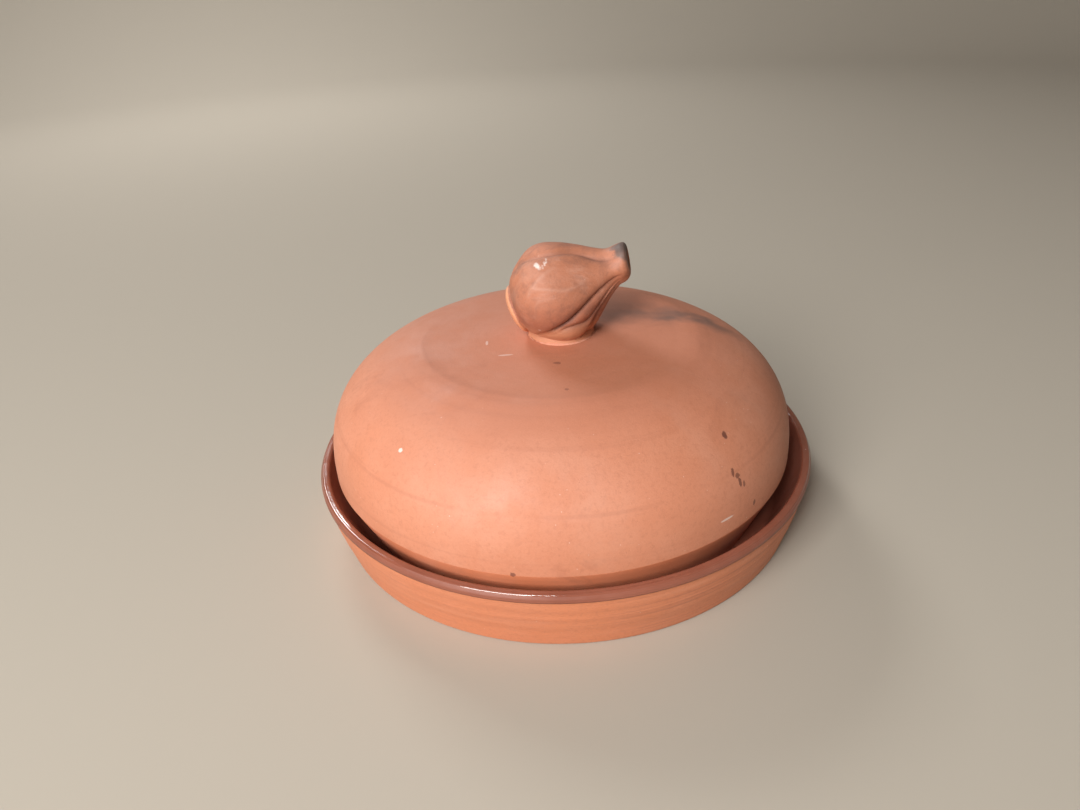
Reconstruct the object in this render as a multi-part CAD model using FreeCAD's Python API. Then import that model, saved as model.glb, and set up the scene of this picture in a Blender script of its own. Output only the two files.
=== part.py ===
import FreeCAD, Part
import math
import os

from FreeCAD import Vector

# Terracotta baker: a round shallow dish with a domed lid whose knob is a garlic bulb lying on its side.
# The dish is bare clay outside and glazed inside and over its rim; the lid and the knob are bare clay.
# Millimetres, +Z up, origin at the centre of the dish's underside. The bulb's stem points along +X.

# ---------------------------------------------------------------- driving dimensions
RIM_RADIUS = 105.0  # outside of the glazed rim
RIM_HEIGHT = 28.8  # top of the rim above the table
FOOT_RADIUS = 98.0  # outside of the dish where it meets the table
BELLY_RADIUS = 102.3  # outside of the dish half way up, a little fuller than a straight cone
LIP_WIDTH = 3.6  # width of the rim's top
LIP_BEVEL_WIDTH = 1.0  # the rim's outer corner is cut off by a bevel this wide
LIP_BEVEL_HEIGHT = 1.9
LIP_FALL = 0.4  # the rim's top slopes down this much to the inside
LIP_ROUNDING = 1.2  # the rim's corners
LIP_EDGE_ROUNDING = 0.3  # its crisp edge between the bevel and the top
FLOOR_HEIGHT = 7.0  # top of the glazed floor
WELL_RADIUS = 91.5  # where the inner wall would meet the floor
WELL_ROUNDING = 4.0
GLAZE = 0.3  # thickness of the glaze coat
GLAZE_END = 25.4  # height at which the coat stops on the outside of the rim

FOOT_RECESS = 1.2  # depth of the hollow under the dish, so that it stands on a ring
FOOT_RING = 12.0  # width of that ring
RING_ROUNDING = 0.8  # inner corners of the ring
FOOT_ROUNDING = 1.5  # outer corner of the ring
BELLY_ROUNDING = 100.0  # radius of the wall's slight fullness

LID_RADIUS = 96.0  # outside of the lid at its widest
LID_EDGE = 32.3  # height of the edge between the lid's side and its skirt
LID_RISE = 50.1  # rise of the lid's side curve above that edge, if it ran on to the centre
LID_SQUARENESS = 2.67  # exponent of the side curve: 2 is an ellipse, more is squarer
LID_WALL = 5.5
LID_EDGE_DROP = 0.4  # the side runs this far down before it turns into the skirt
LID_EDGE_ROUNDING = 0.5
SKIRT_ROUNDING = 1.6  # corners of the skirt's foot
SKIRT_TOP_ROUNDING = 2.5  # where the skirt's inside meets the dome's inside
CROWN_RADIUS = 57.0  # the nearly flat crown starts here
CROWN_HEIGHT = 78.6  # top of the crown above the table
SKIRT_FOOT_RADIUS = 85.0  # outside of the tapered skirt where it stands on the floor
LID_SHIFT = Vector(-1.3, -3.2, 0)  # the lid has side play in the dish, and stands pushed this far

COLLAR_RADIUS = 13.6  # clay pad that joins the knob to the lid
COLLAR_HEIGHT = 1.0  # above the crown
COLLAR_DEPTH = 2.0  # how far it would reach below the crown's top; the lid is cut out of it
COLLAR_ROUNDING = 0.9
KNOB_SHIFT = Vector(2.4, 0, 0)  # pad's centre from the lid's centre

BULB_LENGTH = 50.2  # root plate to the cut end of the stem
BULB_TILT = 24.0  # degrees that the stem points above the horizontal
BULB_TURN = -8.0  # degrees that the stem points away from +X, negative towards -Y
BULB_ROOT = Vector(-16.9, -1.2, 88.2)  # centre of the root plate
GROOVE_DEPTH = 1.7  # furrow between two cloves at the bulb's widest
GROOVE_WIDTH = 9.0  # degrees from a furrow's bottom to where it has faded
GROOVES = (22.0, 111.0, 132.0, 153.0, 212.0, 262.0, 314.0)  # degrees from the bulb's upper side
SECTION_POINTS = 72  # points round one section of the bulb

# Distance along the bulb as a share of its length, and the bulb's radius there.
BULB_PROFILE = (
    (0.0, 5.6),
    (0.04, 9.8),
    (0.10, 13.2),
    (0.19, 17.0),
    (0.30, 19.9),
    (0.42, 20.2),
    (0.54, 17.9),
    (0.66, 13.8),
    (0.78, 9.6),
    (0.88, 7.2),
    (0.95, 6.6),
    (1.0, 4.8),
)


# ---------------------------------------------------------------- outlines in the X-Z half plane
def point(radius, height):
    return Vector(radius, 0, height)


def rounded_chain(corners):
    """Edges along an open chain of (radius, height, rounding) corners. The two ends aren't rounded."""
    edges = []
    start = point(*corners[0][:2])
    for before, here, after in zip(corners, corners[1:], corners[2:]):
        corner = point(*here[:2])
        to_before = (point(*before[:2]) - corner).normalize()
        to_after = (point(*after[:2]) - corner).normalize()
        half = to_before.getAngle(to_after) / 2
        setback = here[2] / math.tan(half)
        inward = (to_before + to_after).normalize()
        arc_start = corner + to_before * setback
        arc_middle = corner + inward * (here[2] / math.sin(half) - here[2])
        arc_end = corner + to_after * setback
        edges.append(Part.LineSegment(start, arc_start).toShape())
        edges.append(Part.Arc(arc_start, arc_middle, arc_end).toShape())
        start = arc_end
    edges.append(Part.LineSegment(start, point(*corners[-1][:2])).toShape())
    return edges


def revolved(edges, centre=Vector(0, 0, 0)):
    """The solid that a closed outline sweeps round the vertical through its own axis, moved to centre."""
    face = Part.Face(Part.Wire(edges))
    solid = face.revolve(Vector(0, 0, 0), Vector(0, 0, 1), 360)
    solid.translate(centre)
    return solid


# ---------------------------------------------------------------- dish and its glaze
def coated_corners(coat):
    """The dish's surface from the rim's outside to the floor's centre, under a coat of this thickness."""
    outside = RIM_RADIUS - GLAZE + coat
    top = RIM_HEIGHT - GLAZE + coat
    inner_lip = RIM_RADIUS - LIP_WIDTH + GLAZE - coat
    floor = FLOOR_HEIGHT - GLAZE + coat
    well = WELL_RADIUS + GLAZE - coat
    return [
        (outside, top - LIP_BEVEL_HEIGHT, LIP_ROUNDING + coat),
        (outside - LIP_BEVEL_WIDTH, top, LIP_EDGE_ROUNDING + coat),
        (inner_lip, top - LIP_FALL, LIP_ROUNDING + coat),
        (well, floor, WELL_ROUNDING + GLAZE - coat),
        (0.0, floor, 0.0),
    ]


def make_dish():
    ring_inside = FOOT_RADIUS - FOOT_RING
    underside = [
        (0.0, FOOT_RECESS, 0.0),
        (ring_inside - FOOT_RECESS, FOOT_RECESS, RING_ROUNDING),
        (ring_inside, 0.0, RING_ROUNDING),
        (FOOT_RADIUS, 0.0, FOOT_ROUNDING),
        (BELLY_RADIUS, RIM_HEIGHT / 2, BELLY_ROUNDING),
    ]
    corners = underside + coated_corners(0.0)
    edges = rounded_chain(corners)
    edges.append(Part.LineSegment(point(0, FLOOR_HEIGHT - GLAZE), point(0, FOOT_RECESS)).toShape())
    return revolved(edges)


def make_dish_glaze():
    clay = [(RIM_RADIUS - GLAZE, GLAZE_END, 0.0)] + coated_corners(0.0)
    coat = [(RIM_RADIUS, GLAZE_END, 0.0)] + coated_corners(GLAZE)
    under = rounded_chain(clay)
    over = rounded_chain(coat)
    lower_end = Part.LineSegment(point(RIM_RADIUS - GLAZE, GLAZE_END), point(RIM_RADIUS, GLAZE_END))
    axis_end = Part.LineSegment(point(0, FLOOR_HEIGHT), point(0, FLOOR_HEIGHT - GLAZE))
    loop = Part.__sortEdges__(under + over + [lower_end.toShape(), axis_end.toShape()])
    skin = revolved(loop)
    return skin.cut(make_dish())


# ---------------------------------------------------------------- lid
def side_height(radius, widest, rise):
    """Height of the lid's side curve above its edge, at a radius."""
    share = min(1.0, radius / widest)
    return rise * (1 - share**LID_SQUARENESS) ** (1 / LID_SQUARENESS)


def dome_curve(inset):
    """The lid's side and crown from its edge to its centre, inset from the outer surface."""
    widest = LID_RADIUS - inset
    rise = LID_RISE - inset
    crown_radius = CROWN_RADIUS - inset / 2
    side = [widest * math.cos(math.radians(a)) ** (2 / LID_SQUARENESS) for a in range(0, 60, 6)]
    points = [point(r, LID_EDGE + side_height(r, widest, rise)) for r in side if r > crown_radius + 3]
    crown_foot = LID_EDGE + side_height(crown_radius, widest, rise)
    crown_rise = CROWN_HEIGHT - inset - crown_foot
    for share in (1.0, 0.75, 0.5, 0.25, 0.0):
        points.append(point(crown_radius * share, crown_foot + crown_rise * (1 - share**2)))
    curve = Part.BSplineCurve()
    curve.interpolate(Points=points, InitialTangent=Vector(0, 0, 1), FinalTangent=Vector(-1, 0, 0))
    return curve.toShape(), points[0], points[-1]


def make_lid():
    outer, outer_edge, outer_top = dome_curve(0.0)
    inner, inner_edge, inner_top = dome_curve(LID_WALL)
    skirt = rounded_chain(
        [
            (outer_edge.x, outer_edge.z, 0.0),
            (outer_edge.x, outer_edge.z - LID_EDGE_DROP, LID_EDGE_ROUNDING),
            (SKIRT_FOOT_RADIUS, FLOOR_HEIGHT, SKIRT_ROUNDING),
            (SKIRT_FOOT_RADIUS - LID_WALL, FLOOR_HEIGHT, SKIRT_ROUNDING),
            (inner_edge.x, inner_edge.z - SKIRT_TOP_ROUNDING / 2, SKIRT_TOP_ROUNDING),
            (inner_edge.x, inner_edge.z, 0.0),
        ]
    )
    axis = Part.LineSegment(inner_top, outer_top).toShape()
    return revolved(Part.__sortEdges__(skirt + [inner, axis, outer]), LID_SHIFT)


# ---------------------------------------------------------------- knob
def bulb_frame():
    """The bulb's axis, its upper side and its front, as unit vectors."""
    turned = FreeCAD.Rotation(Vector(0, 0, 1), BULB_TURN) * FreeCAD.Rotation(Vector(0, 1, 0), -BULB_TILT)
    return [turned.multVec(v) for v in (Vector(1, 0, 0), Vector(0, 0, 1), Vector(0, -1, 0))]


def furrow(angle, share):
    """How much of a furrow's full depth there is at an angle round the bulb, 0 to 1."""
    depth = 0.0
    for groove in GROOVES:
        away = (angle - groove + 180) % 360 - 180
        depth = max(depth, math.exp(-((away / GROOVE_WIDTH) ** 2)))
    return depth * math.sin(math.pi * (0.1 + 0.8 * share))


def bulb_section(share, radius):
    """A closed smooth wire round the bulb, pinched in at its furrows."""
    along, upper, front = bulb_frame()
    centre = BULB_ROOT + along * (BULB_LENGTH * share)
    widest = max(r for _, r in BULB_PROFILE)
    points = []
    for step in range(SECTION_POINTS):
        angle = 360 * step / SECTION_POINTS
        here = radius - GROOVE_DEPTH * furrow(angle, share) * radius / widest
        turn = math.radians(angle)
        points.append(centre + upper * (here * math.cos(turn)) + front * (here * math.sin(turn)))
    curve = Part.BSplineCurve()
    curve.interpolate(Points=points, PeriodicFlag=True)
    return Part.Wire(curve.toShape())


def collar_centre():
    return LID_SHIFT + KNOB_SHIFT + Vector(0, 0, CROWN_HEIGHT)


def make_knob_collar(lid):
    """The clay pad: a low disc with a rounded shoulder, bedded on the lid's crown."""
    corners = [
        (0.0, -COLLAR_DEPTH, 0.0),
        (COLLAR_RADIUS, -COLLAR_DEPTH, COLLAR_ROUNDING),
        (COLLAR_RADIUS, COLLAR_HEIGHT, COLLAR_ROUNDING),
        (0.0, COLLAR_HEIGHT, 0.0),
    ]
    edges = rounded_chain(corners)
    edges.append(Part.LineSegment(point(0, COLLAR_HEIGHT), point(0, -COLLAR_DEPTH)).toShape())
    return revolved(edges, collar_centre()).cut(lid)


def make_garlic_bulb():
    """The bulb, cut flat where it sits on the pad."""
    sections = [bulb_section(share, radius) for share, radius in BULB_PROFILE]
    bulb = Part.makeLoft(sections, True, False)
    pad_top = collar_centre().z + COLLAR_HEIGHT
    size = 2 * BULB_LENGTH
    below = Part.makeBox(size, size, size, Vector(-size / 2, -size / 2, pad_top - size))
    return bulb.cut(below)


# ---------------------------------------------------------------- export
def export(name, shape):
    """Writes one node. Every node is one or more valid closed solids."""
    for solid in shape.Solids:
        if not solid.isValid() or solid.Volume <= 0:
            raise ValueError(f"{name} has a bad solid")
    kept = shape.Solids[0] if len(shape.Solids) == 1 else Part.makeCompound(shape.Solids)
    kept.exportStep(os.path.join("parts", name + ".step"))
    print(name, len(shape.Solids), "solid", round(kept.Volume / 1000, 1), "cm3", kept.BoundBox)


os.makedirs("parts", exist_ok=True)
lid_solid = make_lid()
export("dish", make_dish())
export("dish_glaze", make_dish_glaze())
export("lid", lid_solid)
export("knob_collar", make_knob_collar(lid_solid))
export("garlic_bulb_knob", make_garlic_bulb())
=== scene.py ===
"""The looks of a terracotta baker: a dish, its glaze, a domed lid and a garlic bulb for a knob.

Lengths in this script are in millimetres, in the frame of the CAD model, and become metres in the
meshes and the materials.
Angles round the dish and the lid are counted from +X towards +Y, as seen from above.
"""

import math

import bpy
import numpy as np
from mathutils import Matrix, Vector


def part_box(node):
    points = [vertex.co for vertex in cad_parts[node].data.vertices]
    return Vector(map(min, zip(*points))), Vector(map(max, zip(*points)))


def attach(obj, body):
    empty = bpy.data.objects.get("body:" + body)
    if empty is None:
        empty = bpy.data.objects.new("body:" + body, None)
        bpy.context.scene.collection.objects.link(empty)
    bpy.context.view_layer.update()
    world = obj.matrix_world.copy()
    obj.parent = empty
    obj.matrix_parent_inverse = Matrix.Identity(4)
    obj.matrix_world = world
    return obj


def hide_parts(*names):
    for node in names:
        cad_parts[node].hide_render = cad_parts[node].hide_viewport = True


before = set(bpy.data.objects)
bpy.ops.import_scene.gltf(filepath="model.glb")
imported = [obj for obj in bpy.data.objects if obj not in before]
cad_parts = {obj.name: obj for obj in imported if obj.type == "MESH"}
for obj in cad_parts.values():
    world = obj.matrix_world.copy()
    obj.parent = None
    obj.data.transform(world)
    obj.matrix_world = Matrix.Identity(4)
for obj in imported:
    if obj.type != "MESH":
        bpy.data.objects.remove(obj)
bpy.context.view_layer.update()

MM = 0.001


def span(node):
    """(lowest corner, highest corner, middle) of a CAD node, in millimetres."""
    low, high = (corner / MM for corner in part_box(node))
    return low, high, (low + high) / 2


# ---------------------------------------------------------------- sizes, from the CAD model
_, glaze_high, _ = span("dish_glaze")
lid_low, lid_high, lid_middle = span("lid")
collar_low, collar_high, collar_middle = span("knob_collar")

RIM_RADIUS = glaze_high.x
RIM_HEIGHT = 28.8
LIP_WIDTH = 3.6  # of the rim's top
FOOT_RADIUS = 98.0
BELLY_RADIUS = 102.3  # of the outer wall half way up
FLOOR_HEIGHT = lid_low.z  # the lid stands on the floor
WELL_RADIUS = 91.5
GLAZE = 0.3  # thickness of the coat
GLAZE_END = 25.4  # where it stops on the outside of the rim
FOOT_RECESS = 1.2  # depth of the hollow under the dish
FOOT_RING = 12.0  # width of the ring that the dish stands on

LID_AXIS = Vector((lid_middle.x, lid_middle.y, 0.0))
LID_RADIUS = (lid_high.x - lid_low.x) / 2
LID_EDGE = 32.3  # height of the edge between the side and the skirt
LID_RISE = 50.1  # of the side's curve above that edge, if it ran on to the centre
LID_SQUARENESS = 2.67  # exponent of the side's curve: 2 is an ellipse, more is squarer
LID_WALL = 5.5
CROWN_RADIUS = 57.0
CROWN_HEIGHT = lid_high.z
CROWN_DOME = 1.3  # rise of the crown from its edge to its centre
CROWN_BLEND = 1.1  # how softly the side turns into the crown
RING_RADIUS = 54.5  # of the faint ring round the crown
SEAM_HEIGHT = 53.7  # of the faint line round the lid's side
SKIRT_FOOT_RADIUS = 85.0

COLLAR_AXIS = Vector((collar_middle.x, collar_middle.y, 0.0))
COLLAR_RADIUS = (collar_high.x - collar_low.x) / 2

BULB_ROOT = Vector((-16.9, -1.2, 88.2))  # centre of the root plate
BULB_LENGTH = 50.2
BULB_TILT = math.radians(24.0)
BULB_TURN = math.radians(-8.0)
BULB_TURNED = Matrix.Rotation(BULB_TURN, 3, "Z") @ Matrix.Rotation(-BULB_TILT, 3, "Y")
JOIN_GAP = 0.15  # the bulb stays this far above the crown


# ---------------------------------------------------------------- outlines and curves
def smooth_curve(at, points):
    """Values at the places `at` on a smooth curve through (place, value) points.

    The curve is a cubic Hermite spline, level past its ends.
    """
    x, y = (np.array(column, float) for column in zip(*points))
    slope = np.gradient(y, x)
    at = np.clip(np.asarray(at, float), x[0], x[-1])
    left = np.clip(np.searchsorted(x, at, side="right") - 1, 0, len(x) - 2)
    width = x[left + 1] - x[left]
    t = (at - x[left]) / width
    start = (1 + 2 * t) * (1 - t) ** 2 * y[left] + t * (1 - t) ** 2 * width * slope[left]
    end = t * t * (3 - 2 * t) * y[left + 1] + t * t * (t - 1) * width * slope[left + 1]
    return start + end


def smoothstep(value, low, high):
    """0 at low and before it, 1 at high and past it, eased between. High may be the smaller one."""
    t = np.clip((value - low) / (high - low), 0.0, 1.0)
    return t * t * (3 - 2 * t)


def rounded(corners, steps=7):
    """A chain of (radius, height, rounding) corners as points, with an arc at each inner corner."""
    points = [np.array(corners[0][:2], float)]
    for before, here, after in zip(corners, corners[1:], corners[2:]):
        corner = np.array(here[:2], float)
        back = np.array(before[:2]) - corner
        ahead = np.array(after[:2]) - corner
        back /= np.linalg.norm(back)
        ahead /= np.linalg.norm(ahead)
        half = math.acos(np.clip(back @ ahead, -1, 1)) / 2
        middle = back + ahead
        centre = corner + middle / np.linalg.norm(middle) * here[2] / math.sin(half)
        first = corner + back * here[2] / math.tan(half) - centre
        last = corner + ahead * here[2] / math.tan(half) - centre
        sweep = math.pi - 2 * half
        for step in range(steps + 1):
            t = step / steps
            mix = math.sin((1 - t) * sweep) * first + math.sin(t * sweep) * last
            points.append(centre + mix / math.sin(sweep))
    points.append(np.array(corners[-1][:2], float))
    return np.array(points)


def resampled(points, gap):
    """The same polyline with extra points, none further apart than gap, and no point twice."""
    result = [points[0]]
    for a, b in zip(points, points[1:]):
        length = np.linalg.norm(b - a)
        if length < 1e-6:
            continue
        pieces = max(1, math.ceil(length / gap))
        result += [a + (b - a) * k / pieces for k in range(1, pieces + 1)]
    return np.array(result)


# ---------------------------------------------------------------- meshes
def new_mesh(name, vertices, faces, material):
    """A smooth-shaded piece from vertices in millimetres."""
    mesh = bpy.data.meshes.new(name)
    mesh.from_pydata((np.asarray(vertices) * MM).tolist(), [], faces)
    mesh.validate()
    mesh.update()
    piece = bpy.data.objects.new(name, mesh)
    bpy.context.scene.collection.objects.link(piece)
    mesh.materials.append(material)
    mesh.shade_smooth()
    return piece


def grid_faces(rows, columns, first=0, closed_rows=False):
    """Quads over a grid whose columns run round and close.

    closed_rows joins the last row to the first one too.
    """
    faces = []
    for i in range(rows if closed_rows else rows - 1):
        here, above = first + i * columns, first + (i + 1) % rows * columns
        for j in range(columns):
            k = (j + 1) % columns
            faces.append((here + j, here + k, above + k, above + j))
    return faces


def capped_faces(rows, columns):
    """Faces of a grid of rings whose first and last vertices are single poles."""
    last = 1 + rows * columns
    faces = [(0, 1 + (j + 1) % columns, 1 + j) for j in range(columns)]
    faces += grid_faces(rows, columns, first=1)
    top = last - columns
    faces += [(last, top + j, top + (j + 1) % columns) for j in range(columns)]
    return faces


def lathe(name, outline, axis, material, relief=None, segments=360):
    """A piece turned round a vertical axis. Relief moves its surface along the normal.

    An outline that starts and ends on the axis gives a capped solid, and any other one closes into
    a ring. It runs so that the outside is on its right.
    """
    outline = np.asarray(outline, float)
    capped = outline[0, 0] < 1e-6 and outline[-1, 0] < 1e-6
    if capped:
        tangent = np.gradient(outline, axis=0)
    else:
        tangent = np.roll(outline, -1, axis=0) - np.roll(outline, 1, axis=0)
    tangent /= np.linalg.norm(tangent, axis=1)[:, None]
    normal = np.stack([tangent[:, 1], -tangent[:, 0]], axis=1)
    angle = np.linspace(0, 2 * math.pi, segments, endpoint=False)[None, :]
    radius, height = outline[:, :1], outline[:, 1:]
    shift = relief(angle, radius, height) if relief else np.zeros((len(outline), segments))
    r = radius + normal[:, :1] * shift
    z = height + normal[:, 1:] * shift
    x = axis.x + r * np.cos(angle)
    y = axis.y + r * np.sin(angle)
    points = np.stack([x, y, z], axis=-1)
    if not capped:
        faces = grid_faces(len(outline), segments, closed_rows=True)
        return new_mesh(name, points.reshape(-1, 3), faces, material)
    inner = points[1:-1].reshape(-1, 3)
    poles = [(axis.x, axis.y, height[k, 0]) for k in (0, -1)]
    vertices = np.concatenate([[poles[0]], inner, [poles[1]]])
    return new_mesh(name, vertices, capped_faces(len(outline) - 2, segments), material)


def waves(seed, count, turns, pitch):
    """A gentle uneven surface of angle and height: a seeded sum of waves, up to 1 high."""
    draw = np.random.RandomState(seed)
    terms = [
        (
            draw.randint(0, turns + 1),
            2 * math.pi / draw.uniform(*pitch),
            draw.uniform(0, 2 * math.pi),
        )
        for _ in range(count)
    ]

    def surface(angle, place):
        return sum(np.cos(m * angle + q * place + p) for m, q, p in terms) / count

    return surface


# ---------------------------------------------------------------- node materials
class Material:
    """A Principled material, built up from nodes."""

    def __init__(self, name):
        self.material = bpy.data.materials.new(name)
        self.material.use_nodes = True
        self.tree = self.material.node_tree
        self.shader = self.tree.nodes["Principled BSDF"]
        self.place = self.node("ShaderNodeTexCoord").outputs["Object"]

    def node(self, kind, inputs=None, **settings):
        """A new node with these inputs, each a value or another node's output, and settings."""
        made = self.tree.nodes.new(kind)
        for key, value in settings.items():
            setattr(made, key, value)
        for key, value in (inputs or {}).items():
            self.feed(made.inputs[key], value)
        return made

    def feed(self, socket, value):
        if isinstance(value, bpy.types.NodeSocket):
            self.tree.links.new(value, socket)
        else:
            socket.default_value = value

    def math(self, operation, a, b=0.0):
        return self.node("ShaderNodeMath", {0: a, 1: b}, operation=operation).outputs[0]

    def product(self, a, b):
        return self.math("MULTIPLY", a, b)

    def vector(self, operation, a, b):
        return self.node("ShaderNodeVectorMath", {0: a, 1: b}, operation=operation).outputs[0]

    def length(self, a):
        return self.node("ShaderNodeVectorMath", {0: a}, operation="LENGTH").outputs["Value"]

    def height(self):
        """The height above the table, in metres."""
        return self.node("ShaderNodeSeparateXYZ", {0: self.place}).outputs["Z"]

    def ramp(self, value, low, high, to_low=0.0, to_high=1.0):
        """A value from low to high, eased, as to_low to to_high."""
        inputs = {"Value": value, 1: low, 2: high, 3: to_low, 4: to_high}
        made = self.node("ShaderNodeMapRange", inputs, interpolation_type="SMOOTHSTEP")
        return made.outputs[0]

    def mix(self, amount, a, b, blend="MIX"):
        """Two colours mixed by amount."""
        made = self.node("ShaderNodeMix", data_type="RGBA", blend_type=blend)
        self.feed(made.inputs[0], amount)
        self.feed(made.inputs[6], a)
        self.feed(made.inputs[7], b)
        return made.outputs[2]

    def stretched(self, x=1.0, y=1.0, z=1.0):
        """The place on the object, in metres, stretched along each axis."""
        return self.vector("MULTIPLY", self.place, (x, y, z))

    def noise(self, scale, detail=3.0, roughness=0.55, where=None, distortion=0.0):
        inputs = {
            "Vector": where or self.place,
            "Scale": scale,
            "Detail": detail,
            "Roughness": roughness,
            "Distortion": distortion,
        }
        return self.node("ShaderNodeTexNoise", inputs).outputs["Fac"]

    def specks(self, scale, size, keep, ragged=0.25):
        """Small dots: cells of a Voronoi pattern, of which only the share `keep` has a dot."""
        wobble = self.node("ShaderNodeTexNoise", {"Vector": self.place, "Scale": scale * 1.7})
        small = self.node("ShaderNodeVectorMath", {0: wobble.outputs["Color"]}, operation="SCALE")
        self.feed(small.inputs["Scale"], ragged / scale)
        warped = self.vector("ADD", self.place, small.outputs[0])
        cell = self.node("ShaderNodeTexVoronoi", {"Vector": warped, "Scale": scale})
        chance = self.node("ShaderNodeSeparateColor", {0: cell.outputs["Color"]}).outputs[0]
        dot = self.ramp(cell.outputs["Distance"], size, size * 0.45)
        return self.product(dot, self.math("LESS_THAN", chance, keep))

    def blot(self, centre, size, ragged=0.35, stretch=(1.0, 1.0, 1.0), soft=0.2):
        """1 inside a ragged blot round a point, and 0 outside. More stretch makes it narrower."""
        radius = size * MM
        offset = self.vector("SUBTRACT", self.place, Vector(centre) * MM)
        far = self.length(self.vector("MULTIPLY", offset, stretch))
        uneven = self.math("SUBTRACT", self.noise(0.8 / radius, 3.0), 0.5)
        reach = self.math("ADD", far, self.product(uneven, ragged * 3 * radius))
        return self.ramp(reach, radius * (0.95 + soft), radius * (0.95 - soft))

    def paint_blots(self, colour, marks, paint, ragged, soft=0.2):
        """The colour with a blot of paint for each (centre, size, stretch, strength)."""
        for centre, size, stretch, strength in marks:
            blot = self.blot(centre, size, ragged, stretch, soft)
            colour = self.mix(self.product(blot, strength), colour, paint)
        return colour

    def bump(self, height, depth, under=None):
        """A bump of so many millimetres, on top of another one."""
        inputs = {"Height": height, "Strength": 1.0, "Distance": depth * MM}
        made = self.node("ShaderNodeBump", inputs)
        if under is not None:
            self.feed(made.inputs["Normal"], under)
        return made.outputs[0]


def toned(colour, other, amount):
    """The colour, moved this share of the way to another."""
    return tuple(a + (b - a) * amount for a, b in zip(colour, other))


# The lid's clay is pinker, the dish's more orange and the knob's browner.
CLAY = (0.60, 0.214, 0.110, 1.0)
CLAY_PALE = (0.67, 0.290, 0.178, 1.0)
CLAY_DEEP = (0.43, 0.140, 0.070, 1.0)
CLAY_DUSTY = (0.60, 0.320, 0.230, 1.0)
CLAY_WALL = (0.65, 0.208, 0.086, 1.0)
CLAY_BROWN = (0.45, 0.150, 0.070, 1.0)
# paler clay for the knob's root, and painted bounce light from the crown at the bulb's base
CLAY_ROOT_AND_BOUNCE_LIGHT = (0.74, 0.320, 0.160, 1.0)
# painted warm bounce light for the shaded skirt below the lid's edge
CLAY_EDGE_BOUNCE_LIT = (0.74, 0.235, 0.105, 1.0)
SMOKE = (0.10, 0.062, 0.05, 1.0)
CHALK = (0.86, 0.76, 0.70, 1.0)
STAIN = (0.17, 0.045, 0.022, 1.0)


def clay_base(m, middle, pale, deep):
    """Mottled fired clay: the colour, and the height of its fine grain."""
    cloud = m.noise(17.0, 4.0, 0.55, distortion=0.4)
    drift = m.noise(52.0, 5.0, 0.6)
    colour = m.mix(m.ramp(cloud, 0.25, 0.60, 0.55, 1.0), deep, middle)
    colour = m.mix(m.ramp(drift, 0.40, 0.75, 0.0, 0.35), colour, pale)
    grain = m.noise(1500.0, 3.0, 0.7)
    colour = m.mix(m.ramp(grain, 0.3, 0.7, 0.0, 0.26), colour, pale)
    flecks = m.noise(620.0, 4.0, 0.75)
    colour = m.mix(m.ramp(flecks, 0.48, 0.68, 0.0, 0.55), colour, deep)
    colour = m.mix(m.product(m.specks(620.0, 0.16, 0.22), 0.30), colour, deep)
    colour = m.mix(m.product(m.specks(480.0, 0.12, 0.10), 0.40), colour, CHALK)
    return colour, grain


def clay_finish(m, colour, grain, extra_bump=None, grain_depth=0.06):
    """The colour on a matt surface with pits and grain, and one more (height, depth) bump."""
    pits = m.specks(900.0, 0.20, 0.16)
    surface = m.bump(m.noise(240.0, 4.0, 0.6), 0.06)
    if extra_bump is not None:
        surface = m.bump(extra_bump[0], extra_bump[1], surface)
    surface = m.bump(grain, grain_depth, surface)
    surface = m.bump(m.math("SUBTRACT", 1.0, pits), 0.05, surface)
    m.feed(m.shader.inputs["Base Color"], colour)
    m.feed(m.shader.inputs["Roughness"], m.ramp(m.noise(70.0, 4.0), 0.3, 0.7, 0.60, 0.78))
    m.feed(m.shader.inputs["Normal"], surface)
    m.shader.inputs["Specular IOR Level"].default_value = 1.0
    return m.material


def crown_ring(m, wander):
    """1 on the faint ring at the crown's front left, and 0 off it."""
    across = m.vector("SUBTRACT", m.place, LID_AXIS * MM)
    radius = m.math("ADD", m.length(m.vector("MULTIPLY", across, (1.0, 1.0, 0.0))), wander)
    off_ring = m.math("ABSOLUTE", m.math("SUBTRACT", radius, RING_RADIUS * MM))
    ring = m.product(m.ramp(off_ring, 1.2 * MM, 0.2 * MM), m.ramp(m.noise(30.0, 3.0), 0.40, 0.60))
    parts = m.node("ShaderNodeSeparateXYZ", {0: across})
    front_left = m.math("ADD", parts.outputs["X"], m.product(parts.outputs["Y"], 1.5))
    return m.product(ring, m.ramp(front_left, -20.0 * MM, -60.0 * MM))


def side_seam(m, wander):
    """1 on the faint line round the lid's side, and 0 off it."""
    level = m.math("ADD", m.height(), m.product(wander, 0.18))
    off_seam = m.math("ABSOLUTE", m.math("SUBTRACT", level, SEAM_HEIGHT * MM))
    return m.product(m.ramp(off_seam, 1.0 * MM, 0.2 * MM), m.ramp(m.noise(24.0, 3.0), 0.42, 0.6))


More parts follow.
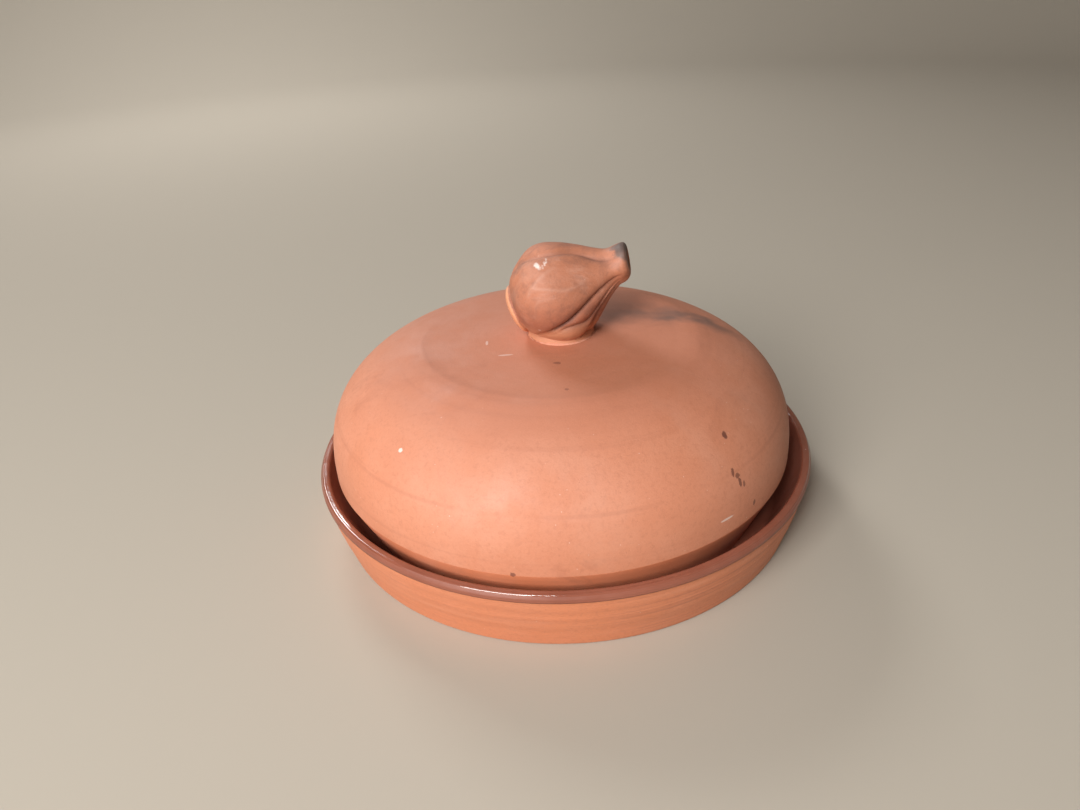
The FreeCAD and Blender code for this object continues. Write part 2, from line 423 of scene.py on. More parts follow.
def lid_clay():
    """Salmon clay, with painted shade darkening the crown, turning marks, smoke, stains and a few
    scratches.
    """
    m = Material("lid_clay")
    colour, grain = clay_base(m, CLAY, CLAY_PALE, toned(CLAY_DEEP, CLAY, 0.45))
    height = m.height()
    # painted shade: the crown is darker than the side, as if its flat top got less of the low light
    crown = m.ramp(height, 66.0 * MM, 77.5 * MM)
    colour = m.mix(m.product(crown, 0.70), colour, toned(CLAY, CLAY_DEEP, 0.7))
    # painted warm bounce light: the skirt below the edge is brighter and redder than the side
    colour = m.mix(m.ramp(height, LID_EDGE * MM, (LID_EDGE - 0.6) * MM), colour, CLAY_EDGE_BOUNCE_LIT)
    wander = m.product(m.math("SUBTRACT", m.noise(14.0, 2.0), 0.5), 16.0 * MM)
    colour = m.mix(m.product(crown_ring(m, wander), 0.28), colour, CLAY_DEEP)
    turning = m.noise(1.0, 4.0, 0.6, where=m.stretched(6.0, 6.0, 420.0))
    colour = m.mix(m.ramp(turning, 0.55, 0.75, 0.0, 0.22), colour, CLAY_DEEP)
    colour = m.mix(m.product(side_seam(m, wander), 0.30), colour, CLAY_DEEP)
    smudge = m.ramp(m.noise(33.0, 5.0, 0.65, distortion=1.2), 0.56, 0.72)
    colour = m.mix(m.product(smudge, 0.34), colour, CLAY_DEEP)
    handled = m.ramp(m.noise(9.0, 5.0, 0.7, distortion=0.8), 0.48, 0.70)
    colour = m.mix(m.product(handled, 0.20), colour, CLAY_DUSTY)
    colour = m.paint_blots(colour, SMOKE_STREAKS, SMOKE, 0.9, soft=0.9)
    colour = m.paint_blots(colour, STAINS, STAIN, 0.5)
    colour = m.paint_blots(colour, CHALK_MARKS, CHALK, 0.3)
    return clay_finish(m, colour, grain, extra_bump=(turning, 0.05))


# Marks on the lid: centre, size, how much narrower it is along each axis, strength.
SMOKE_STREAKS = (
    ((49.0, 11.0, 77.3), 7.0, (0.50, 1.4, 1.0), 0.42),
    ((60.0, 5.5, 75.8), 7.0, (0.50, 1.8, 1.0), 0.55),
    ((57.0, 11.5, 76.2), 6.0, (0.50, 2.0, 1.0), 0.40),
    ((68.0, 1.0, 72.8), 6.0, (0.7, 1.5, 1.0), 0.30),
    ((36.0, 12.0, 78.0), 10.0, (0.6, 1.1, 1.0), 0.25),
    ((22.0, 14.0, 78.4), 9.0, (0.8, 1.0, 1.0), 0.22),
)
STAINS = (
    ((54.6, -66.4, 63.6), 1.3, (1.3, 1.0, 0.6), 0.95),
    ((53.6, -66.9, 65.6), 0.7, (1.0, 1.0, 0.6), 0.85),
    ((56.0, -75.1, 54.4), 0.9, (1.3, 1.0, 0.32), 0.85),
    ((58.2, -75.0, 52.0), 0.9, (0.7, 0.7, 0.8), 0.80),
    ((58.8, -75.0, 49.4), 0.9, (1.2, 1.2, 0.36), 0.85),
    ((60.6, -74.2, 48.0), 0.7, (1.2, 1.0, 0.5), 0.75),
    ((65.8, -71.7, 37.6), 1.0, (1.2, 1.2, 0.6), 0.80),
    ((66.6, -71.4, 40.6), 0.7, (1.2, 1.2, 0.5), 0.60),
    ((-21.6, -96.6, 32.4), 0.9, (1.0, 1.0, 1.0), 0.8),
    ((-1.9, -31.7, 78.3), 1.2, (0.8, 1.2, 1.0), 0.55),
    ((0.7, -51.7, 77.6), 0.8, (1.0, 1.0, 1.0), 0.5),
    ((-8.0, 62.0, 76.4), 1.3, (1.0, 1.3, 1.0), 0.5),
    ((-62.0, 58.0, 62.0), 1.1, (1.0, 1.0, 0.8), 0.5),
)
CHALK_MARKS = (
    ((-59.2, -64.1, 63.9), 0.9, (1.0, 1.0, 1.0), 0.7),
    ((53.9, -81.6, 38.6), 2.6, (0.8, 0.8, 5.0), 0.6),
    ((-29.0, -9.8, 78.4), 1.6, (3.0, 0.8, 1.0), 0.35),
    ((-21.6, -22.0, 78.3), 2.0, (0.7, 3.0, 1.0), 0.35),
    ((24.0, -88.0, 44.0), 0.6, (1.0, 1.0, 1.0), 0.6),
    ((-44.0, -58.0, 72.0), 0.7, (1.0, 1.0, 1.0), 0.5),
)


def dish_clay():
    """Oranger clay with the faint level bands that the thrower's tools leave."""
    m = Material("dish_clay")
    pale, deep = toned(CLAY_WALL, CLAY_PALE, 0.5), toned(CLAY_WALL, CLAY_DEEP, 0.5)
    colour, grain = clay_base(m, CLAY_WALL, pale, deep)
    bands = m.noise(1.0, 4.0, 0.65, where=m.stretched(7.0, 7.0, 330.0))
    colour = m.mix(m.ramp(bands, 0.42, 0.72, 0.0, 0.20), colour, CLAY_DEEP)
    lines = m.noise(1.0, 4.0, 0.6, where=m.stretched(9.0, 9.0, 900.0))
    patches = m.ramp(m.noise(13.0, 3.0), 0.40, 0.62)
    colour = m.mix(m.product(m.ramp(lines, 0.52, 0.64, 0.0, 0.65), patches), colour, CLAY_DEEP)
    bright = m.noise(1.0, 3.0, 0.6, where=m.stretched(11.0, 11.0, 150.0))
    colour = m.mix(m.ramp(bright, 0.55, 0.75, 0.0, 0.3), colour, CLAY_PALE)
    return clay_finish(m, colour, grain, extra_bump=(bands, 0.05))


def knob_clay():
    """Browner clay: painted shade in the hollows, the furrows and towards the bottom, pale on
    creases, sooty at the stem, paler at the root, with painted bounce light from the crown at the
    base.
    """
    m = Material("knob_clay")
    pale, deep = toned(CLAY_BROWN, CLAY_PALE, 0.5), toned(CLAY_BROWN, SMOKE, 0.25)
    colour, grain = clay_base(m, CLAY_BROWN, pale, deep)
    # painted shade: the AO node darkens the clay where the surface is hemmed in, as in the furrows
    # and where the bulb meets the collar
    open_air = m.node("ShaderNodeAmbientOcclusion", {"Distance": 5.0 * MM}, samples=8).outputs["AO"]
    colour = m.mix(m.ramp(open_air, 0.93, 0.55, 0.0, 0.45), colour, toned(CLAY_DEEP, SMOKE, 0.3))
    furrow = m.node("ShaderNodeAttribute", attribute_name="furrow").outputs["Fac"]
    crease = m.node("ShaderNodeAttribute", attribute_name="crease").outputs["Fac"]
    uneven = m.ramp(m.noise(110.0, 4.0, 0.6), 0.30, 0.62, 0.45, 1.0)
    # painted shade: the furrows between the cloves are darkened
    furrow_shade = m.product(m.ramp(furrow, 0.12, 0.9, 0.0, 0.78), uneven)
    colour = m.mix(furrow_shade, colour, toned(CLAY_DEEP, SMOKE, 0.5))
    colour = m.mix(m.product(m.ramp(crease, 0.1, 0.9, 0.0, 0.35), uneven), colour, CLAY_DUSTY)
    mottle = m.noise(150.0, 4.0, 0.7, distortion=0.5)
    colour = m.mix(m.ramp(mottle, 0.45, 0.68, 0.0, 0.50), colour, toned(CLAY_DEEP, SMOKE, 0.45))
    streaks = m.noise(60.0, 4.0, 0.7, distortion=1.5)
    colour = m.mix(m.ramp(streaks, 0.48, 0.7, 0.0, 0.30), colour, CLAY_DUSTY)

    offset = m.vector("SUBTRACT", m.place, BULB_ROOT * MM)
    length_axis = BULB_TURNED @ Vector((1, 0, 0))
    along = m.node("ShaderNodeVectorMath", {0: offset, 1: length_axis}, operation="DOT_PRODUCT")
    from_root = m.math("ADD", along.outputs["Value"], m.product(m.noise(260.0, 2.0), 1.6 * MM))
    colour = m.mix(m.ramp(from_root, 3.4 * MM, 2.4 * MM, 0.0, 0.85), colour, CLAY_ROOT_AND_BOUNCE_LIGHT)
    height = m.height()
    # painted shade: the bulb is darker towards its bottom, except at the root
    low = m.ramp(height, 104.0 * MM, 86.0 * MM, 0.0, 0.42)
    not_root = m.math("SUBTRACT", 1.0, m.ramp(from_root, 3.4 * MM, 2.4 * MM))
    shade = toned(CLAY_BROWN, CLAY_DEEP, 0.6)
    colour = m.mix(m.product(low, not_root), colour, shade, "MULTIPLY")
    # painted bounce light: the bulb's base and the pressed-on foot are paler and oranger, as if lit
    # from the crown below
    colour = m.mix(m.ramp(height, 90.0 * MM, 82.5 * MM, 0.0, 0.55), colour, CLAY_ROOT_AND_BOUNCE_LIGHT)
    colour = m.paint_blots(colour, KNOB_SOOT, SMOKE, 0.45)
    colour = m.paint_blots(colour, KNOB_CHALK, CHALK, 0.25)
    scratches = m.noise(1.0, 4.0, 0.7, where=m.stretched(90.0, 260.0, 260.0), distortion=0.6)
    return clay_finish(m, colour, grain, extra_bump=(scratches, 0.25), grain_depth=0.08)


# Marks on the knob: soot at the stem and the root, and the chip on the upper side.
KNOB_SOOT = (
    ((28.5, -8.5, 112.5), 5.8, (1.0, 1.0, 1.0), 0.85),
    ((27.0, -8.0, 115.5), 4.4, (0.8, 1.0, 1.0), 0.75),
    ((30.0, -10.0, 109.0), 4.0, (1.0, 1.0, 1.0), 0.75),
    ((22.5, -10.5, 112.0), 1.0, (1.0, 1.0, 1.0), 0.60),
    ((-13.8, -7.3, 107.9), 4.5, (0.8, 0.8, 1.5), 0.30),
    ((-15.0, -12.0, 98.0), 4.0, (1.0, 1.0, 0.7), 0.22),
)
KNOB_CHALK = (
    ((-7.2, -14.6, 111.3), 1.1, (0.8, 0.4, 1.1), 0.75),
    ((-6.2, -15.0, 110.6), 1.2, (0.9, 0.4, 1.0), 0.80),
    ((-5.2, -15.0, 110.6), 1.2, (1.0, 0.4, 0.9), 0.85),
    ((-4.4, -14.3, 111.3), 1.1, (1.1, 0.4, 0.8), 0.85),
    ((-3.7, -13.7, 112.0), 1.0, (1.2, 0.4, 0.8), 0.80),
    ((-7.4, -18.5, 87.7), 1.0, (1.0, 0.4, 1.0), 0.60),
)


def glaze():
    """A clear glaze over red clay, glossy on the rim's top, with pinholes and a waxy unevenness."""
    m = Material("glaze")
    cloud = m.noise(26.0, 4.0, 0.6)
    colour = m.mix(m.ramp(cloud, 0.3, 0.7), (0.245, 0.074, 0.044, 1.0), (0.30, 0.098, 0.060, 1.0))
    thin = m.ramp(m.noise(160.0, 3.0), 0.45, 0.75, 0.0, 0.18)
    colour = m.mix(thin, colour, (0.36, 0.14, 0.095, 1.0))
    pinholes = m.specks(420.0, 0.15, 0.12)
    colour = m.mix(m.product(pinholes, 0.5), colour, (0.10, 0.035, 0.022, 1.0))
    colour = m.mix(m.product(m.specks(260.0, 0.09, 0.08), 0.7), colour, CHALK)
    surface = m.bump(m.noise(190.0, 3.0), 0.10)
    surface = m.bump(m.math("SUBTRACT", 1.0, m.specks(700.0, 0.14, 0.10)), 0.06, surface)
    m.feed(m.shader.inputs["Base Color"], colour)
    top = m.ramp(m.height(), (RIM_HEIGHT - 1.0) * MM, (RIM_HEIGHT - 0.6) * MM)
    dull = m.product(m.math("SUBTRACT", 1.0, top), 0.30)
    rough = m.math("ADD", m.ramp(m.noise(120.0, 4.0), 0.3, 0.7, 0.07, 0.16), dull)
    m.feed(m.shader.inputs["Roughness"], rough)
    m.feed(m.shader.inputs["Normal"], surface)
    m.feed(m.shader.inputs["Coat Weight"], m.ramp(top, 0.0, 1.0, 0.08, 0.7))
    m.shader.inputs["Coat Roughness"].default_value = 0.05
    return m.material


def slip():
    """The pale slip that joins the knob to the lid."""
    m = Material("slip")
    colour, grain = clay_base(m, CLAY_PALE, toned(CLAY_PALE, CHALK, 0.35), CLAY)
    return clay_finish(m, colour, grain)


# ---------------------------------------------------------------- dish
dish_sway = waves(3, 5, 4, (150.0, 400.0))
dish_bands = waves(8, 7, 2, (3.2, 9.0))


def dish_relief(angle, radius, height):
    """Level throwing bands on the outer wall and a slight sway of the whole wall."""
    outer = smoothstep(radius, 98.5, 101.0)
    outer = outer * smoothstep(height, 2.5, 6.0) * smoothstep(height, 27.0, 24.0)
    bands = 0.11 * (dish_bands(angle, height) - 1.0) * outer
    wall = smoothstep(radius, 88.0, 97.0) * smoothstep(height, 1.0, 10.0)
    side = np.where(radius > 102.7, 1.0, -0.6)  # the outside's upper half, or the rest
    wall = wall * smoothstep(height, 8.0, 26.0)
    return bands + 0.16 * (dish_sway(angle, 0.0) - 1.0) * wall * side


def coated_corners(coat):
    """The dish's surface from the rim's outside to the floor's centre, with a coat this thick."""
    outside = RIM_RADIUS - GLAZE + coat
    top = RIM_HEIGHT - GLAZE + coat
    return [
        (outside, top - 1.9, 1.2 + coat),
        (outside - 1.0, top, 0.6 + coat),
        (RIM_RADIUS - LIP_WIDTH + GLAZE - coat, top - 0.4, 1.2 + coat),
        (WELL_RADIUS + GLAZE - coat, FLOOR_HEIGHT - GLAZE + coat, 4.3 - coat),
        (0.0, FLOOR_HEIGHT - GLAZE + coat, 0.0),
    ]


def dish_outline():
    """From the centre of the underside over the foot ring, the wall and the rim to the floor."""
    ring_inside = FOOT_RADIUS - FOOT_RING
    return resampled(
        rounded(
            [
                (0.0, FOOT_RECESS, 0.0),
                (ring_inside - FOOT_RECESS, FOOT_RECESS, 0.8),
                (ring_inside, 0.0, 0.8),
                (FOOT_RADIUS, 0.0, 1.5),
                (BELLY_RADIUS, RIM_HEIGHT / 2, 100.0),
            ]
            + coated_corners(0.0)
        ),
        0.8,
    )


def glaze_outline():
    """From the centre, just inside the clay, to the coat's lower end, and back over its surface."""
    lower_end = (RIM_RADIUS - GLAZE, GLAZE_END, 0.0)
    outer = rounded([lower_end, (RIM_RADIUS, GLAZE_END + 0.15, 0.12)] + coated_corners(GLAZE))
    inner = rounded([lower_end] + coated_corners(-0.1))
    return resampled(np.concatenate([inner[::-1], outer]), 0.6)


# ---------------------------------------------------------------- lid
lid_sway = waves(21, 5, 3, (180.0, 500.0))
lid_marks = waves(5, 9, 3, (2.2, 7.5))
lid_hand = waves(33, 9, 5, (35.0, 90.0))


def lid_relief(angle, radius, height):
    """The lid's unevenness: sway, turning marks on the side and a raised ring round the crown."""
    outside = smoothstep(height, LID_EDGE - 1.0, LID_EDGE + 4.0)
    place = np.where(height > 70.0, 0.9 * radius, height)
    sway = 0.30 * (lid_sway(angle, 0.0) - 1.0) * smoothstep(radius, 10.0, 80.0)
    marks = 0.035 * lid_marks(angle, place) * outside
    hand = 0.10 * lid_hand(angle, place) * outside
    front_left = smoothstep(np.cos(angle + math.radians(125)), 0.0, 0.7)
    off_ring = radius - RING_RADIUS - 1.6 * np.cos(angle + 1.0) - 1.1 * np.cos(2 * angle + 0.4)
    ring = 0.08 * np.exp(-((off_ring / 1.3) ** 2)) * smoothstep(height, 74.0, 76.0)
    off_seam = height - SEAM_HEIGHT - 0.5 * np.cos(angle)
    groove = 0.09 * np.exp(-((off_seam / 0.7) ** 2)) * smoothstep(radius, 88.0, 90.0)
    return sway + marks + hand + (ring - groove) * front_left


def dome_points(inset, steps=90):
    """The side's curve and the crown from the lid's edge to its centre, inset from the outside."""
    widest, rise = LID_RADIUS - inset, LID_RISE - inset
    turn = np.linspace(0, math.pi / 2, steps)
    radius = widest * np.cos(turn) ** (2 / LID_SQUARENESS)
    side = LID_EDGE + rise * np.sin(turn) ** (2 / LID_SQUARENESS)
    crown = CROWN_HEIGHT - inset - CROWN_DOME * (radius / CROWN_RADIUS) ** 2
    blend = np.clip(0.5 + 0.5 * (crown - side) / CROWN_BLEND, 0.0, 1.0)
    height = side * blend + crown * (1 - blend) - CROWN_BLEND * blend * (1 - blend) * 0.5
    return np.stack([np.where(turn >= math.pi / 2 - 1e-9, 0.0, radius), height], axis=1)


def lid_outline():
    """From the centre of the inside down to the skirt's foot and back up over the outside."""
    outer = dome_points(0.0)
    inner = dome_points(LID_WALL)
    skirt = rounded(
        [
            (inner[0, 0], inner[0, 1], 0.0),
            (inner[0, 0], inner[0, 1] - 1.25, 2.5),
            (SKIRT_FOOT_RADIUS - LID_WALL, FLOOR_HEIGHT, 1.6),
            (SKIRT_FOOT_RADIUS, FLOOR_HEIGHT, 1.6),
            (outer[0, 0], outer[0, 1] - 0.4, 0.5),
            (outer[0, 0], outer[0, 1], 0.0),
        ]
    )
    return resampled(np.concatenate([inner[::-1], skirt[1:-1], outer]), 1.0)


# ---------------------------------------------------------------- knob
# Radius of the garlic bulb along its length. The narrow step near the root is the root plate.
BULB_PROFILE = (
    (0.0, 8.2),
    (0.02, 9.7),
    (0.045, 10.3),
    (0.065, 11.2),
    (0.10, 13.6),
    (0.19, 17.3),
    (0.30, 20.0),
    (0.42, 20.2),
    (0.54, 17.9),
    (0.66, 13.9),
    (0.78, 9.8),
    (0.87, 7.5),
    (0.93, 7.3),
    (0.965, 6.9),
    (0.985, 6.2),
    (0.996, 5.2),
    (1.0, 4.4),
)


class Furrow:
    """A crease between two cloves: its path of (share of the length, degrees) and its depth."""

    def __init__(self, path, depth, width, begins=0.0, ends=0.97):
        self.path = path
        self.depth = depth
        self.width = width
        self.begins = begins
        self.ends = ends

    def away(self, share, angle):
        """Degrees from the furrow, -180 to 180."""
        return (angle - smooth_curve(share, self.path) + 180) % 360 - 180

    def cut(self, share, angle, radius):
        """How deep the furrow is at each place, in millimetres."""
        arc = np.radians(np.abs(self.away(share, angle))) * radius
        begun = smoothstep(share, self.begins, self.begins + 0.08)
        left = smoothstep(share, self.ends, self.ends - 0.2)
        return self.depth * begun * left * np.exp(-((arc / self.width) ** 1.15))


UPPER = Furrow(((0.05, 2), (0.2, 13), (0.5, 25), (0.7, 25), (0.8, 40), (0.92, 55)), 1.5, 2.0, 0.03)
LOWER = Furrow(((0.05, 142), (0.2, 122), (0.47, 112), (0.7, 106), (0.92, 108)), 2.3, 1.6, 0.03)
UNDER = Furrow(
    ((0.25, 126), (0.35, 122), (0.46, 126), (0.54, 134), (0.64, 136), (0.8, 128)),
    depth=0.8,
    width=1.3,
    begins=0.32,
    ends=0.88,
)
SIDE = Furrow(((0.05, 190), (0.3, 168), (0.49, 158), (0.63, 147), (0.8, 142)), 1.9, 2.2, 0.03)
BACK = (
    Furrow(((0.05, 232), (0.35, 214), (0.7, 200), (0.92, 196)), 1.7, 2.2, 0.03),
    Furrow(((0.05, 268), (0.35, 258), (0.7, 246), (0.92, 240)), 1.7, 2.2, 0.03),
    Furrow(((0.05, 318), (0.35, 312), (0.7, 303), (0.92, 298)), 1.6, 2.2, 0.03),
)
FURROWS = (UPPER, LOWER, UNDER, SIDE) + BACK
CLOVES = (  # the two furrows, how far the clove stands out, how much it bulges
    (UPPER, LOWER, 0.9, 1.3),
    (LOWER, UNDER, -0.7, 0.3),
    (UNDER, SIDE, -0.3, 0.7),
    (SIDE, BACK[0], 0.0, 0.7),
    (BACK[0], BACK[1], 0.3, 0.9),
    (BACK[1], BACK[2], 0.0, 0.9),
    (BACK[2], UPPER, -0.55, 1.0),
)
CREASES = (  # faint raised lines across the front clove: path, height, width
    (((0.25, 66), (0.34, 58), (0.52, 47)), 0.40, 1.0),
    (((0.30, 60), (0.43, 68), (0.55, 76), (0.64, 77)), 0.45, 0.9),
)


def crease_height(share, angle, base, relative=False):
    """How far the creases stand out, in millimetres, or as a share of each one's height."""
    total = 0.0
    for path, height, width in CREASES:
        first, last = path[0][0] - 0.04, path[-1][0] + 0.1
        line = Furrow(path, 1.0 if relative else height, width, first, last)
        total = total + line.cut(share, angle, base) * ((share > first) & (share < last))
    return total


def bulb_marks(share, angle):
    """How deep in a furrow and how near to a crease each place is, from 0 to 1."""
    base = smooth_curve(share, BULB_PROFILE)
    furrow = np.max([line.cut(share, angle, base) / line.depth for line in FURROWS], axis=0)
    return furrow, crease_height(share, angle, base, relative=True)


def bulb_radius(share, angle):
    """The bulb's radius at a share of its length and an angle in degrees from its upper side."""
    base = smooth_curve(share, BULB_PROFILE)
    radius = base
    body = smoothstep(share, 0.045, 0.16) * smoothstep(share, 0.98, 0.62)
    for first, second, stand, bulge in CLOVES:
        from_first = first.away(share, angle)
        from_second = second.away(share, angle)
        step = np.degrees(1.1 / base)
        inside = smoothstep(from_first, -step, step) * smoothstep(-from_second, -step, step)
        inside = inside * (from_first > -90) * (from_second < 90)
        width = from_first - from_second
        across = np.clip(from_first / width, 0.0, 1.0)
        crown = stand + bulge * (1 - (2 * across - 1) ** 2) - 0.45 * bulge
        radius = radius + inside * body * crown
    for furrow in FURROWS:
        radius = radius - furrow.cut(share, angle, base) * base / 20.0
    radius = radius + crease_height(share, angle, base)
    nick = np.exp(-(((share - 0.058) / 0.012) ** 2))  # behind the root plate
    radius = radius - 0.9 * nick
    turn = np.radians(angle)
    uneven = 0.22 * np.cos(3 * turn + 9 * share) + 0.16 * np.cos(5 * turn - 17 * share + 1.0)
    return radius + uneven * smoothstep(share, 0.0, 0.2)


def foot_shell(columns):
    """Vertices and faces of the pressed-on clay between bulb and collar, a ring inside the bulb."""
    r, z = COLLAR_RADIUS, CROWN_HEIGHT
    corners = [
        (r - 7.0, z + JOIN_GAP, 0.0),
        (r - 0.1, z + JOIN_GAP, 0.3),
        (r - 0.6, z + 2.8, 1.2),
        (r - 2.6, z + 5.2, 1.5),
        (r - 7.0, z + 5.8, 0.0),
    ]
    outline = resampled(rounded(corners), 0.4)
    angle = np.linspace(0, 2 * math.pi, columns, endpoint=False)[None, :]
    uneven = 0.25 * np.cos(2 * angle + 0.6) + 0.20 * np.cos(5 * angle) - 0.20
    radius = outline[:, :1] + uneven * smoothstep(outline[:, :1], r - 5.0, r - 1.0)
    x = COLLAR_AXIS.x + radius * np.cos(angle)
    y = COLLAR_AXIS.y + radius * np.sin(angle)
    vertices = np.stack([x, y, outline[:, 1:] * np.ones_like(angle)], axis=-1).reshape(-1, 3)
    return vertices, grid_faces(len(outline), columns, closed_rows=True)


def garlic_bulb(material, columns=360):
    """The bulb lies on its side, sinks into the collar, and is flat where it is joined."""
    stretches = (0.0, 0.12, 50), (0.12, 0.95, 170), (0.95, 1.0, 26)  # from, to, rings
    share = np.concatenate([np.linspace(a, b, n, endpoint=b == 1.0) for a, b, n in stretches])
    angle = np.linspace(0, 360, columns, endpoint=False)[None, :]
    radius = bulb_radius(share[:, None], angle)
    root_caps = [(shrink, -0.004 + 0.012 * (1 - shrink)) for shrink in (0.12, 0.35, 0.6, 0.8, 0.93)]
    stem_caps = [(shrink, -0.045 * (1 - shrink) ** 0.5) for shrink in (0.9, 0.75, 0.5, 0.3, 0.12)]
    rings = [(sink, radius[0] * shrink) for shrink, sink in root_caps]
    rings += list(zip(share, radius))
    rings += [(1.002 + sink, radius[-1] * shrink) for shrink, sink in stem_caps]

    axes = (1, 0, 0), (0, 0, 1), (0, -1, 0)
    along, upper, front = (np.array(BULB_TURNED @ Vector(axis)) for axis in axes)
    root = np.array(BULB_ROOT)
    turn = np.radians(angle[0])[:, None]
    vertices = [root + along * BULB_LENGTH * 0.004]
    for place, ring in rings:
        bend = 0.7 * max(0.0, (place - 0.72) / 0.28) ** 1.6  # the stem bends up a little
        centre = root + along * (BULB_LENGTH * place) + upper * bend
        slant = 0.24 * smoothstep(place, 0.84, 0.98)  # and its end is cut askew
        rise, out = ring[:, None] * np.cos(turn), ring[:, None] * np.sin(turn)
        vertices += list(centre + (upper + along * slant) * rise + front * out)
    vertices.append(root + along * BULB_LENGTH * 0.962 + upper * 1.2)
    vertices = np.array(vertices)
    vertices[:, 2] = np.maximum(vertices[:, 2], CROWN_HEIGHT + JOIN_GAP)

    foot_vertices, foot_faces = foot_shell(180)
    first = len(vertices)
    faces = capped_faces(len(rings), columns)
    faces += [tuple(first + k for k in face) for face in foot_faces]
    piece = new_mesh("garlic_bulb", np.concatenate([vertices, foot_vertices]), faces, material)
    before, after = 1 + len(root_caps) * columns, 1 + len(stem_caps) * columns + len(foot_vertices)
    for name, values in zip(("furrow", "crease"), bulb_marks(share[:, None], angle)):
        marks = np.concatenate([np.zeros(before), values.ravel(), np.zeros(after)])
        piece.data.attributes.new(name, "FLOAT", "POINT").data.foreach_set("value", marks)
    return piece


def collar_relief(angle, radius, height):
    """The slip was pressed in with a finger, so its edge comes and goes."""
    outer = smoothstep(radius, COLLAR_RADIUS - 2.2, COLLAR_RADIUS)
    front = smoothstep(np.cos(angle + math.radians(78)), 0.1, 0.95)
    return outer * (0.95 * (front - 1.0) + 0.10 * np.cos(5 * angle) - 0.10)


def collar_outline():
    """A ring of slip, sunk a little into the crown."""
    r, z = COLLAR_RADIUS, CROWN_HEIGHT
    return resampled(
        rounded(
            [
                (r - 4.5, z - 0.9, 0.0),
                (r + 0.5, z - 0.8, 0.3),
                (r + 0.2, z + 0.3, 0.4),
                (r - 1.2, z + 0.9, 0.5),
                (r - 4.5, z + 0.9, 0.0),
            ]
        ),
        0.35,
    )


# ---------------------------------------------------------------- build
DISH_AXIS = Vector((0.0, 0.0, 0.0))
clay_body = lathe("dish_clay_body", dish_outline(), DISH_AXIS, dish_clay(), dish_relief)
glaze_coat = lathe("dish_glaze_coat", glaze_outline(), DISH_AXIS, glaze(), dish_relief)
lid_shell = lathe("lid_shell", lid_outline(), LID_AXIS, lid_clay(), lid_relief)
collar = lathe("collar_slip", collar_outline(), COLLAR_AXIS, slip(), collar_relief)
knob = garlic_bulb(knob_clay())
pieces = (  # the piece, its body, the CAD node that it stands for, its slot
    (clay_body, "dish", "dish", "terracotta_dish"),
    (glaze_coat, "dish", "dish_glaze", "glaze"),
    (lid_shell, "lid", "lid", "terracotta_lid"),
    (collar, "lid", "knob_collar", "terracotta_lid"),
    (knob, "lid", "garlic_bulb_knob", "terracotta_lid"),
)
for piece, body, node, slot in pieces:
    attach(piece, body)
    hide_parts(node)


# ---------------------------------------------------------------- floor, lights and camera
def floor(flat=1500.0, bend=800.0, top=3000.0, columns=96):
    """A plain pale studio floor that curves up into a round wall, far from the object."""
    m = Material("floor_paper")
    m.shader.inputs["Base Color"].default_value = (0.47, 0.42, 0.35, 1.0)
    m.shader.inputs["Roughness"].default_value = 0.9
    m.shader.inputs["Specular IOR Level"].default_value = 0.1
    rise = np.linspace(0, math.pi / 2, 17)
    radius = np.concatenate([[0.9 * flat], flat + bend * np.sin(rise), [flat + bend]])[:, None]
    height = np.concatenate([[0.0], bend * (1 - np.cos(rise)), [top]])[:, None]
    angle = np.linspace(0, 2 * math.pi, columns, endpoint=False)[None, :]
    x, y, z = radius * np.cos(angle), radius * np.sin(angle), height * np.ones_like(angle)
    vertices = np.concatenate([[(0.0, 0.0, 0.0)], np.stack([x, y, z], axis=-1).reshape(-1, 3)])
    faces = [(0, 1 + (j + 1) % columns, 1 + j) for j in range(columns)]
    faces += grid_faces(len(radius), columns, first=1)
    return new_mesh("floor", vertices, faces, m.material)


def aim(item, target):
    """Turns a light to shine at a point."""
    item.rotation_euler = (Vector(target) * MM - item.location).to_track_quat("-Z", "Y").to_euler()


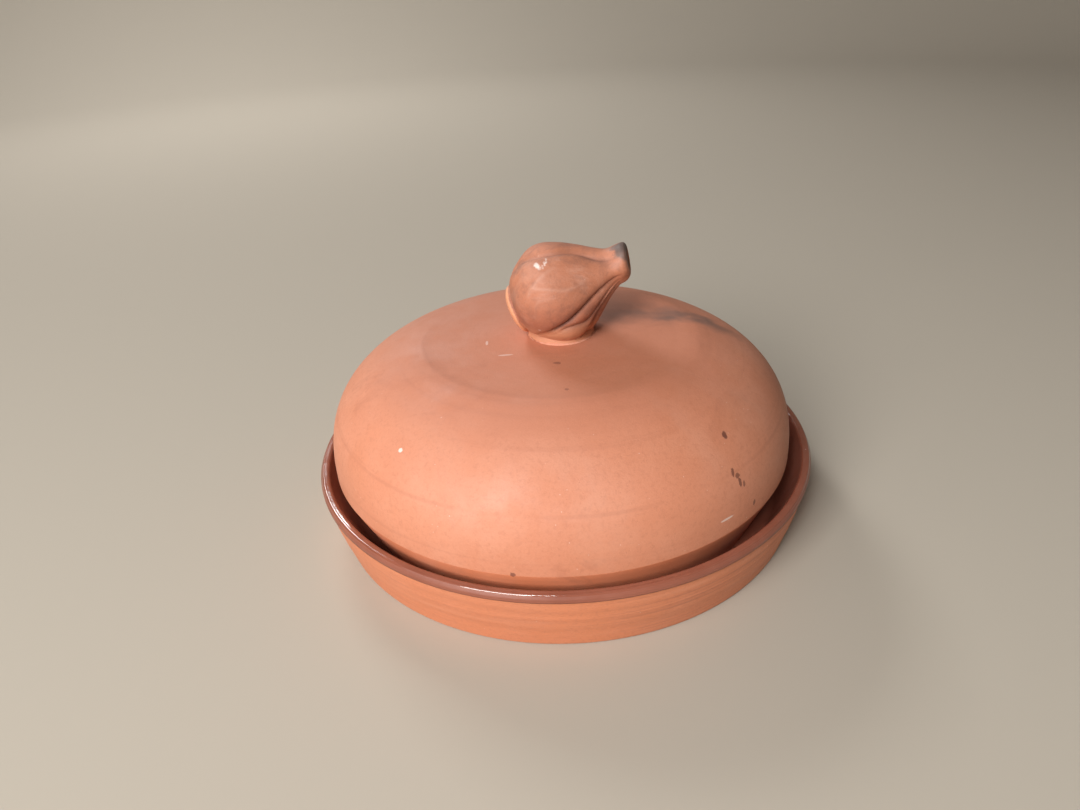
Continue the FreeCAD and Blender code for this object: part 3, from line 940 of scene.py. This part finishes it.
def area_light(name, place, target, width, height, power, colour=(1.0, 1.0, 1.0)):
    """A soft rectangular light of so many watts, which no view shows as an object."""
    data = bpy.data.lights.new(name, "AREA")
    data.shape = "RECTANGLE"
    data.size, data.size_y = width * MM, height * MM
    data.energy = power
    data.color = colour
    item = bpy.data.objects.new(name, data)
    item.location = Vector(place) * MM
    item.visible_camera = False
    bpy.context.scene.collection.objects.link(item)
    aim(item, target)
    return item


floor()
centre = (0.0, 0.0, 40.0)
area_light("window", (-620.0, -1020.0, 620.0), centre, 600.0, 440.0, 13.6, (1.0, 0.985, 0.965))
area_light("window_side", (-950.0, -650.0, 420.0), centre, 600.0, 500.0, 1.2, (1.0, 0.99, 0.97))
area_light("window_top", (-500.0, -800.0, 1000.0), centre, 600.0, 500.0, 4.8, (0.98, 0.99, 1.0))
area_light("glint", (-280.0, -940.0, 900.0), centre, 300.0, 80.0, 4.6)
area_light("sky", (-350.0, 150.0, 1500.0), centre, 1500.0, 1500.0, 0.9, (0.96, 0.98, 1.0))
floor_behind = (-250.0, 1000.0, 0.0)
area_light("back_left", (-600.0, 1200.0, 1100.0), floor_behind, 600.0, 400.0, 13.0)

world = bpy.data.worlds.new("room")
bpy.context.scene.world = world
world.use_nodes = True
room = world.node_tree.nodes["Background"]
room.inputs["Color"].default_value = (1.0, 0.98, 0.95, 1.0)
room.inputs["Strength"].default_value = 0.018


def camera():
    """A hand-held view from the front, 29 degrees above the horizontal, with a slight roll."""
    data = bpy.data.cameras.new("camera")
    data.sensor_width = 36.0
    data.lens = 27.03
    item = bpy.data.objects.new("camera", data)
    down, roll = math.radians(29.1), math.radians(-3.4)
    place = Vector((-9.2, -306.8, 213.7)) * MM
    pitch = Matrix.Rotation(math.pi / 2 - down, 4, "X")
    item.matrix_world = Matrix.Translation(place) @ pitch @ Matrix.Rotation(roll, 4, "Z")
    bpy.context.scene.collection.objects.link(item)
    bpy.context.scene.camera = item


camera()
bpy.context.scene.view_settings.view_transform = "Standard"
